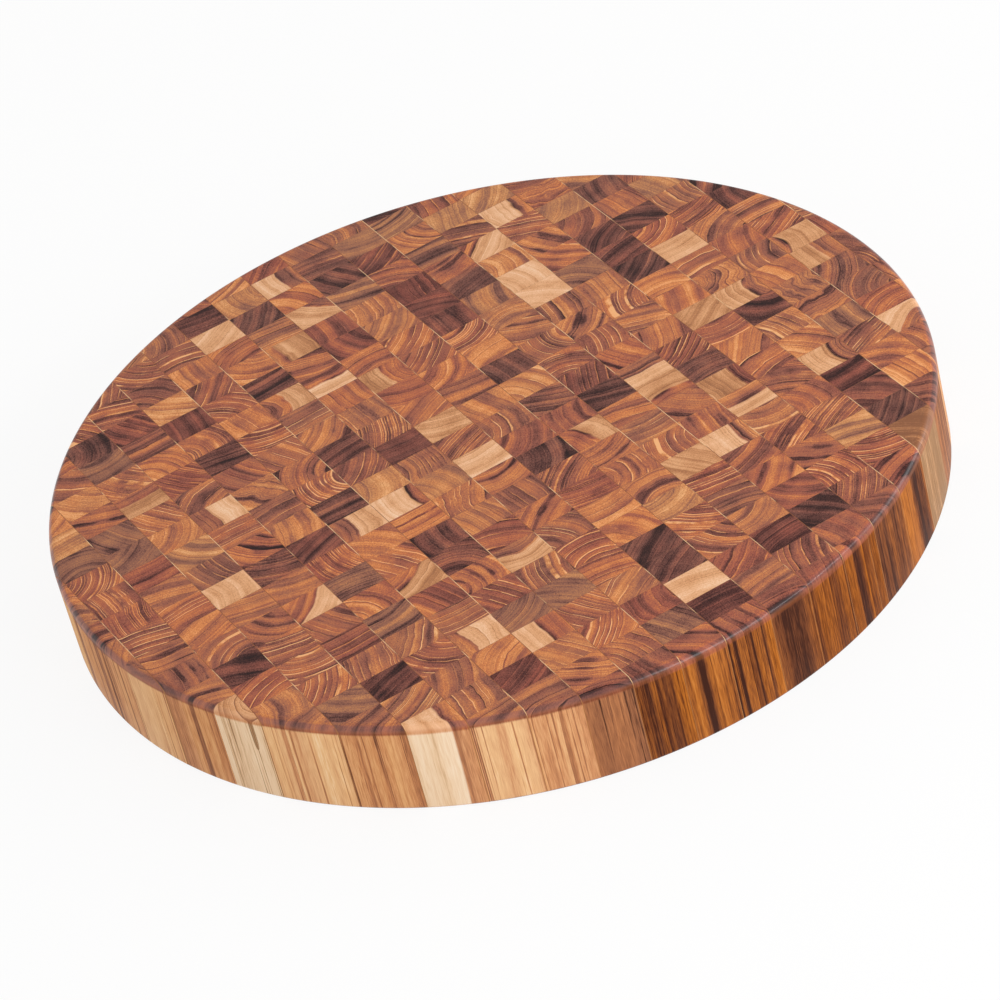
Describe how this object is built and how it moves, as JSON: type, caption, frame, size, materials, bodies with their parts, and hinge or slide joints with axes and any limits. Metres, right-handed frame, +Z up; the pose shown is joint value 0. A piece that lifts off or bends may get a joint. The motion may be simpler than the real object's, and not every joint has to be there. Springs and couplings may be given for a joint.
{
  "type": "round end-grain chopping block",
  "caption": "Thick round end-grain chopping block of teak blocks glued in strips, with a rounded top edge, an eased base edge and a flat underside to rest on.",
  "frame": {"origin": "middle of the underside, on the surface that the board rests on", "axes": "+Z up through the thickness, +Y along the strips, +X across them"},
  "size_m": [0.4572, 0.4572, 0.0508],
  "materials": {
    "teak": "oiled, satin",
    "glue": "sanded flush, satin"
  },
  "bodies": {
    "root": {"block_glue_01": "glue", "block_glue_02": "glue", "block_glue_03": "glue", "block_glue_04": "glue", "block_glue_05": "glue", "block_glue_06": "glue", "block_glue_07": "glue", "block_glue_08": "glue", "block_glue_09": "glue", "block_glue_10": "glue", "block_glue_11": "glue", "block_glue_12": "glue", "block_glue_13": "glue", "block_glue_14": "glue", "block_glue_15": "glue", "block_glue_16": "glue", "block_glue_17": "glue", "block_glue_18": "glue", "block_glue_19": "glue", "block_glue_20": "glue", "strip_01": "teak", "strip_02": "teak", "strip_03": "teak", "strip_04": "teak", "strip_05": "teak", "strip_06": "teak", "strip_07": "teak", "strip_08": "teak", "strip_09": "teak", "strip_10": "teak", "strip_11": "teak", "strip_12": "teak", "strip_13": "teak", "strip_14": "teak", "strip_15": "teak", "strip_16": "teak", "strip_17": "teak", "strip_18": "teak", "strip_19": "teak", "strip_20": "teak", "strip_glue_01": "glue", "strip_glue_02": "glue", "strip_glue_03": "glue", "strip_glue_04": "glue", "strip_glue_05": "glue", "strip_glue_06": "glue", "strip_glue_07": "glue", "strip_glue_08": "glue", "strip_glue_09": "glue", "strip_glue_10": "glue", "strip_glue_11": "glue", "strip_glue_12": "glue", "strip_glue_13": "glue", "strip_glue_14": "glue", "strip_glue_15": "glue", "strip_glue_16": "glue", "strip_glue_17": "glue", "strip_glue_18": "glue", "strip_glue_19": "glue"}
  },
  "joints": []
}
